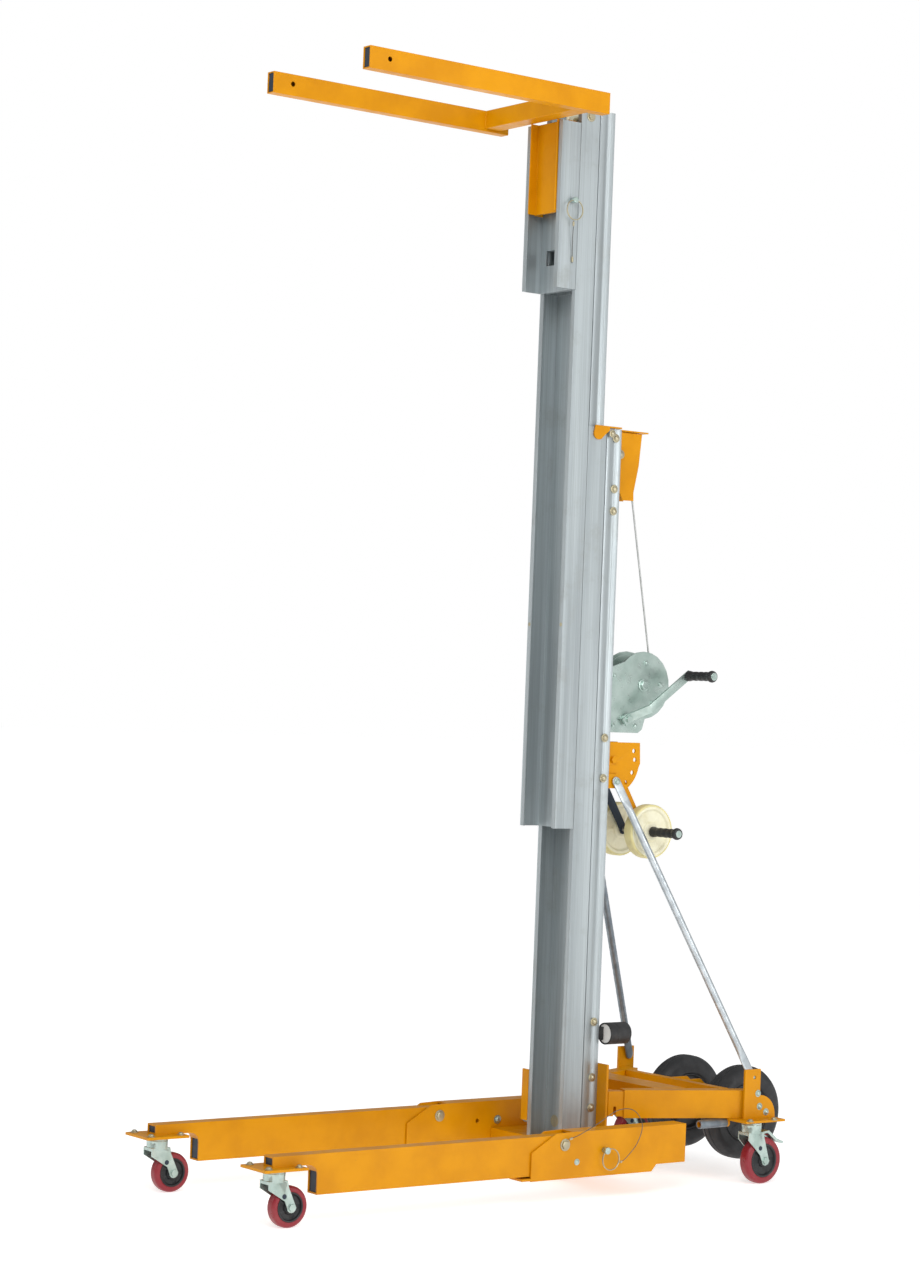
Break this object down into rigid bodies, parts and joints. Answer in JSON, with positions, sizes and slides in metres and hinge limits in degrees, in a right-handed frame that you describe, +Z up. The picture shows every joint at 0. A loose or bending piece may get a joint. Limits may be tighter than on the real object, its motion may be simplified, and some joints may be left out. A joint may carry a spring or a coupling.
{
  "type": "hand-winch material lift",
  "caption": "Telescopic aluminium mast on a wheeled steel base, with folding front legs, a hand winch, rear braces and a two-arm lifting fork on the carriage.",
  "frame": {"origin": "on the floor, under the centre of the bounding box", "axes": "+Z up, -Y towards the fork and front legs, +X towards the crank side (the lift's left)"},
  "size_m": [0.642, 1.807, 2.858],
  "materials": {
    "yellow_paint": "gloss powder coat",
    "mill_aluminium": "mill finish",
    "zinc_plate": "bright zinc plate",
    "galvanised_steel": "galvanised",
    "steel": "bright steel",
    "black_rubber": "matte",
    "cream_nylon": "satin nylon",
    "maroon_tread": "polyurethane tread",
    "dark_steel": "dark satin"
  },
  "bodies": {
    "base": {"base_mast": "mill_aluminium", "mast_top_plate": "yellow_paint", "sheave_housing": "yellow_paint", "wire_rope": "steel", "winch_frame": "zinc_plate", "loading_bracket": "yellow_paint", "brace_left": "galvanised_steel", "brace_right": "galvanised_steel", "base_cross_beam": "yellow_paint", "mast_rear_plate": "yellow_paint", "leg_bracket_left": "yellow_paint", "leg_bracket_right": "yellow_paint", "leg_pivot_bolt_left": "zinc_plate", "leg_pivot_bolt_right": "zinc_plate", "leg_lanyard_left": "steel", "rear_arm_left": "yellow_paint", "rear_arm_right": "yellow_paint", "caster_bracket_left": "yellow_paint", "caster_bracket_right": "yellow_paint", "rear_tray": "yellow_paint", "rear_crossbar": "yellow_paint", "rest_cylinder": "black_rubber"},
    "inner": {"inner_mast": "mill_aluminium", "inner_axle": "steel", "inner_top_bracket": "mill_aluminium"},
    "inner_pulley": {"inner_sheave": "cream_nylon"},
    "lift_carriage": {"carriage": "mill_aluminium", "fork_pin_lanyard": "steel"},
    "fork": {"fork_left": "yellow_paint", "fork_right": "yellow_paint", "fork_crossbar": "yellow_paint", "fork_tongue": "yellow_paint"},
    "fork_lock": {"fork_pin": "steel"},
    "drum": {"winch_drum": "zinc_plate"},
    "crank": {"winch_crank": "zinc_plate"},
    "crank_handle": {"crank_grip": "black_rubber"},
    "top_sheave": {"rope_sheave": "dark_steel"},
    "loading_frame": {"loading_arm_left": "yellow_paint", "loading_arm_right": "dark_steel", "loading_axle": "steel", "loading_grip_left": "black_rubber", "loading_grip_right": "black_rubber"},
    "load_wheel_left": {"loading_wheel_left": "cream_nylon"},
    "big_wheel_left": {"transport_wheel_left": "black_rubber"},
    "leg_left": {"front_leg_left": "yellow_paint"},
    "front_swivel_left": {"front_caster_fork_left": "zinc_plate"},
    "front_roller_left": {"front_caster_wheel_left": "maroon_tread"},
    "rear_swivel_left": {"rear_caster_fork_left": "zinc_plate"},
    "rear_roller_left": {"rear_caster_wheel_left": "maroon_tread"},
    "brake_left": {"brake_pedal_left": "zinc_plate"},
    "leg_lock_left": {"leg_pin_left": "steel"},
    "load_wheel_right": {"loading_wheel_right": "cream_nylon"},
    "big_wheel_right": {"transport_wheel_right": "black_rubber"},
    "leg_right": {"front_leg_right": "yellow_paint"},
    "front_swivel_right": {"front_caster_fork_right": "zinc_plate"},
    "front_roller_right": {"front_caster_wheel_right": "maroon_tread"},
    "rear_swivel_right": {"rear_caster_fork_right": "zinc_plate"},
    "rear_roller_right": {"rear_caster_wheel_right": "maroon_tread"},
    "brake_right": {"brake_pedal_right": "zinc_plate"},
    "leg_lock_right": {"leg_pin_right": "steel"}
  },
  "joints": [
    {"name": "mast_rise", "type": "slide", "parent": "base", "child": "inner", "axis": [0, 0, 1], "range_m": [-0.82, 0.6]},
    {"name": "carriage_rise", "type": "slide", "parent": "inner", "child": "lift_carriage", "axis": [0, 0, 1], "range_m": [-1.4, 0]},
    {"name": "fork_lift_out", "type": "slide", "parent": "lift_carriage", "child": "fork", "axis": [0, 0, 1], "range_m": [0, 0.24]},
    {"name": "fork_pin_slide", "type": "slide", "parent": "lift_carriage", "child": "fork_lock", "axis": [1, 0, 0], "range_m": [-0.006, 0.03]},
    {"name": "inner_sheave_spin", "type": "hinge", "parent": "inner", "child": "inner_pulley", "pos_m": [0, 0.1545, 2.814], "axis": [1, 0, 0], "continuous": true},
    {"name": "rope_sheave_spin", "type": "hinge", "parent": "base", "child": "top_sheave", "pos_m": [0, 0.3365, 1.938], "axis": [1, 0, 0], "continuous": true},
    {"name": "drum_spin", "type": "hinge", "parent": "base", "child": "drum", "pos_m": [0, 0.4395, 1.322], "axis": [1, 0, 0], "continuous": true},
    {"name": "crank_spin", "type": "hinge", "parent": "base", "child": "crank", "pos_m": [0, 0.3795, 1.23], "axis": [1, 0, 0], "continuous": true},
    {"name": "crank_grip_spin", "type": "hinge", "parent": "crank", "child": "crank_handle", "pos_m": [0, 0.54799, 1.35197], "axis": [1, 0, 0], "continuous": true},
    {"name": "loading_swing", "type": "hinge", "parent": "base", "child": "loading_frame", "pos_m": [0, 0.3345, 1.12], "axis": [1, 0, 0], "range_deg": [0, 70]},
    {"name": "loading_wheel_spin_left", "type": "hinge", "parent": "loading_frame", "child": "load_wheel_left", "pos_m": [0.063, 0.4545, 0.93], "axis": [1, 0, 0], "continuous": true},
    {"name": "transport_wheel_spin_left", "type": "hinge", "parent": "base", "child": "big_wheel_left", "pos_m": [0.117, 0.7765, 0.168], "axis": [1, 0, 0], "continuous": true},
    {"name": "leg_fold_left", "type": "hinge", "parent": "base", "child": "leg_left", "pos_m": [0.267, 0.0195, 0.149], "axis": [-1, 0, 0], "range_deg": [0, 90]},
    {"name": "front_swivel_turn_left", "type": "hinge", "parent": "leg_left", "child": "front_swivel_left", "pos_m": [0.267, -0.8425, 0.13], "axis": [0, 0, 1], "continuous": true},
    {"name": "front_wheel_spin_left", "type": "hinge", "parent": "front_swivel_left", "child": "front_roller_left", "pos_m": [0.267, -0.8025, 0.05], "axis": [1, 0, 0], "continuous": true},
    {"name": "rear_swivel_turn_left", "type": "hinge", "parent": "base", "child": "rear_swivel_left", "pos_m": [0.265, 0.6835, 0.15], "axis": [0, 0, 1], "continuous": true},
    {"name": "rear_wheel_spin_left", "type": "hinge", "parent": "rear_swivel_left", "child": "rear_roller_left", "pos_m": [0.265, 0.7195, 0.0625], "axis": [1, 0, 0], "continuous": true},
    {"name": "brake_pedal_tilt_left", "type": "hinge", "parent": "rear_swivel_left", "child": "brake_left", "pos_m": [0.265, 0.7235, 0.138], "axis": [1, 0, 0], "range_deg": [0, 12]},
    {"name": "leg_pin_slide_left", "type": "slide", "parent": "base", "child": "leg_lock_left", "axis": [1, 0, 0], "range_m": [-0.006, 0.03]},
    {"name": "loading_wheel_spin_right", "type": "hinge", "parent": "loading_frame", "child": "load_wheel_right", "pos_m": [-0.063, 0.4545, 0.93], "axis": [1, 0, 0], "continuous": true},
    {"name": "transport_wheel_spin_right", "type": "hinge", "parent": "base", "child": "big_wheel_right", "pos_m": [-0.117, 0.7765, 0.168], "axis": [1, 0, 0], "continuous": true},
    {"name": "leg_fold_right", "type": "hinge", "parent": "base", "child": "leg_right", "pos_m": [-0.267, 0.0195, 0.149], "axis": [-1, 0, 0], "range_deg": [0, 90]},
    {"name": "front_swivel_turn_right", "type": "hinge", "parent": "leg_right", "child": "front_swivel_right", "pos_m": [-0.267, -0.8425, 0.13], "axis": [0, 0, 1], "continuous": true},
    {"name": "front_wheel_spin_right", "type": "hinge", "parent": "front_swivel_right", "child": "front_roller_right", "pos_m": [-0.267, -0.8025, 0.05], "axis": [1, 0, 0], "continuous": true},
    {"name": "rear_swivel_turn_right", "type": "hinge", "parent": "base", "child": "rear_swivel_right", "pos_m": [-0.265, 0.6835, 0.15], "axis": [0, 0, 1], "continuous": true},
    {"name": "rear_wheel_spin_right", "type": "hinge", "parent": "rear_swivel_right", "child": "rear_roller_right", "pos_m": [-0.265, 0.7195, 0.0625], "axis": [1, 0, 0], "continuous": true},
    {"name": "brake_pedal_tilt_right", "type": "hinge", "parent": "rear_swivel_right", "child": "brake_right", "pos_m": [-0.265, 0.7235, 0.138], "axis": [1, 0, 0], "range_deg": [0, 12]},
    {"name": "leg_pin_slide_right", "type": "slide", "parent": "base", "child": "leg_lock_right", "axis": [-1, 0, 0], "range_m": [-0.006, 0.03]}
  ],
  "couplings": [
    {"joint": "crank_spin", "follows": "drum_spin", "ratio": -2}
  ]
}
